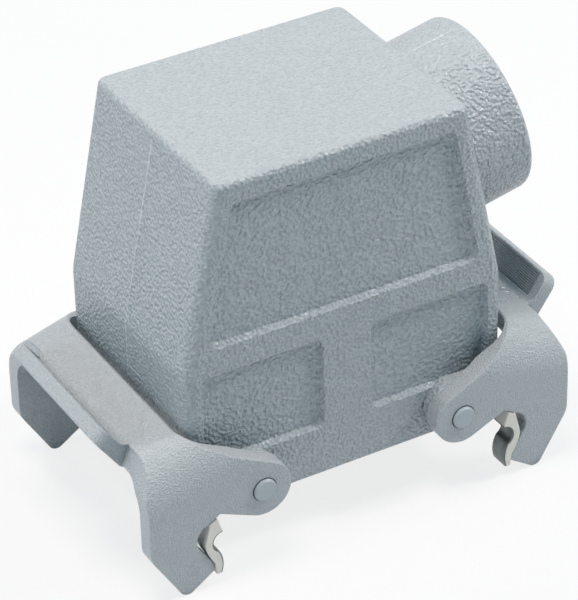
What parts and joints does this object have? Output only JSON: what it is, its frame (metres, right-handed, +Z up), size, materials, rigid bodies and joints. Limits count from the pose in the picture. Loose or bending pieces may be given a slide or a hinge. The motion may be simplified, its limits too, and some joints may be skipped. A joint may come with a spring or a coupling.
{
  "type": "heavy duty rectangular connector hood",
  "caption": "Die-cast rectangular connector hood with a tilted side cable entry, two locking levers with hook slots and latch strips, and a screw terminal contact insert in its mouth.",
  "frame": {"origin": "centre of the mating rim, in the plane that meets the mating half", "axes": "+Z up from the rim to the roof, +X along the long side to the cable entry, Y across the legs of the levers"},
  "size_m": [0.1078, 0.0632, 0.0894],
  "materials": {
    "hood_casting": "grey powder coat with a hammered grain",
    "lever_casting": "grey powder coat with a fine grain",
    "pin_steel": "grey coated steel",
    "latch_plastic": "satin beige",
    "seal_rubber": "matt",
    "insert_plastic": "satin moulded, light grey",
    "contact_metal": "plated",
    "screw_steel": "zinc plated",
    "earth_steel": "zinc plated"
  },
  "bodies": {
    "hood": {"hood_shell": "hood_casting", "rim_gasket": "seal_rubber", "contact_insert": "insert_plastic", "terminal_screws": "screw_steel", "earth_plate_left": "earth_steel", "earth_plate_right": "earth_steel", "earth_screws": "screw_steel", "insert_screws": "screw_steel", "contact_1": "contact_metal", "contact_2": "contact_metal", "contact_3": "contact_metal", "contact_4": "contact_metal", "contact_5": "contact_metal", "contact_6": "contact_metal", "contact_7": "contact_metal", "contact_8": "contact_metal", "contact_9": "contact_metal", "contact_10": "contact_metal", "pivot_pin_left_front": "pin_steel", "pivot_pin_left_back": "pin_steel", "pivot_pin_right_front": "pin_steel", "pivot_pin_right_back": "pin_steel"},
    "lever_left": {"lever_left": "lever_casting", "latch_strip_left_front": "latch_plastic", "latch_strip_left_back": "latch_plastic"},
    "lever_right": {"lever_right": "lever_casting", "latch_strip_right_front": "latch_plastic", "latch_strip_right_back": "latch_plastic"}
  },
  "joints": [
    {"name": "left_lever_pivot", "type": "hinge", "parent": "hood", "child": "lever_left", "pos_m": [-0.0232, 0, 0.0064], "axis": [0, -1, 0], "range_deg": [0, 52]},
    {"name": "right_lever_pivot", "type": "hinge", "parent": "hood", "child": "lever_right", "pos_m": [0.0232, 0, 0.0064], "axis": [0, 1, 0], "range_deg": [0, 52]}
  ]
}
